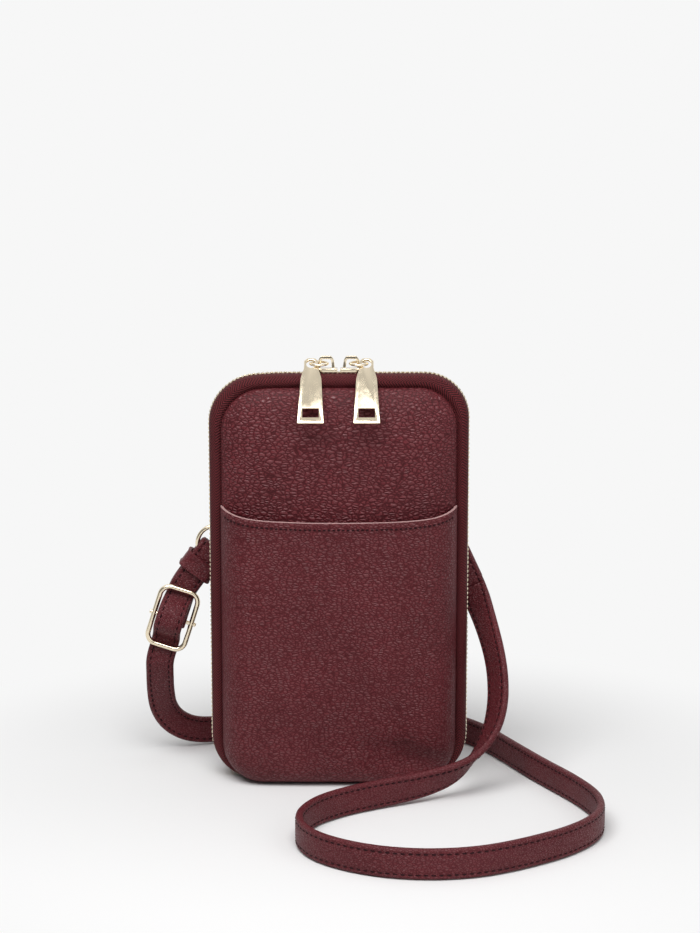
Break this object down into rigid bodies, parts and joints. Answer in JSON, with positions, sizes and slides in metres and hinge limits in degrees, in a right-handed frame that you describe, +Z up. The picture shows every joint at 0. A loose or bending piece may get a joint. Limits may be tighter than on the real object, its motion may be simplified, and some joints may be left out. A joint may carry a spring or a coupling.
{
  "type": "phone pouch",
  "caption": "Slim zip-around phone pouch in grained leather with a curved front slip pocket, gold zip pulls and an adjustable shoulder strap.",
  "frame": {"origin": "on the surface the pouch stands on, below the middle of the zip", "axes": "+Z up the pouch, +X to the right seen from the slip pocket, +Y to the back"},
  "size_m": [0.2018, 0.1976, 0.192],
  "materials": {
    "leather": "pebbled grain, satin",
    "zip_tape": "herringbone weave",
    "lining": "plain weave",
    "padding": "foam sheet",
    "gold": "polished pale gold plating"
  },
  "bodies": {
    "back_half": {"back_panel": "leather", "back_foam": "padding", "back_lining": "lining", "bottom_gusset": "leather", "back_zip_tape": "zip_tape", "back_zip_chain": "gold", "left_strap_tab": "leather", "right_strap_tab": "leather", "left_strap_ring": "gold", "right_strap_ring": "gold", "shoulder_strap": "leather", "strap_end_fold": "leather", "strap_adjuster_end": "leather", "adjuster_frame": "gold", "adjuster_bar": "gold"},
    "front_half": {"front_panel": "leather", "front_foam": "padding", "front_lining": "lining", "front_pocket": "leather", "front_pocket_lining": "lining", "front_zip_tape": "zip_tape", "front_zip_chain": "gold"},
    "left_slider": {"left_slider": "gold"},
    "right_slider": {"right_slider": "gold"},
    "left_link": {"left_pull_link": "gold"},
    "right_link": {"right_pull_link": "gold"},
    "left_pull": {"left_pull": "gold"},
    "right_pull": {"right_pull": "gold"},
    "keeper": {"strap_keeper": "leather"}
  },
  "joints": [
    {"name": "front_open", "type": "hinge", "parent": "back_half", "child": "front_half", "pos_m": [0, -0.009, 0.0025], "axis": [1, 0, 0], "range_deg": [0, 30]},
    {"name": "left_zip_slide", "type": "slide", "parent": "front_half", "child": "left_slider", "axis": [-1, 0, 0], "range_m": [0, 0.024]},
    {"name": "left_link_swing", "type": "hinge", "parent": "left_slider", "child": "left_link", "pos_m": [-0.0088, 0, 0.18905], "axis": [-1, 0, 0], "range_deg": [0, 40]},
    {"name": "left_pull_sway", "type": "hinge", "parent": "left_link", "child": "left_pull", "pos_m": [-0.01218, -0.00398, 0.1887], "axis": [0, -0.7193, 0.6947], "range_deg": [-8, 8]},
    {"name": "right_zip_slide", "type": "slide", "parent": "front_half", "child": "right_slider", "axis": [1, 0, 0], "range_m": [0, 0.024]},
    {"name": "right_link_swing", "type": "hinge", "parent": "right_slider", "child": "right_link", "pos_m": [0.0088, 0, 0.18905], "axis": [-1, 0, 0], "range_deg": [0, 40]},
    {"name": "right_pull_sway", "type": "hinge", "parent": "right_link", "child": "right_pull", "pos_m": [0.01218, -0.00398, 0.1887], "axis": [0, -0.7193, 0.6947], "range_deg": [-8, 8]},
    {"name": "keeper_slide", "type": "slide", "parent": "back_half", "child": "keeper", "axis": [0.6018, 0, 0.7986], "range_m": [-0.004, 0.0015]}
  ]
}
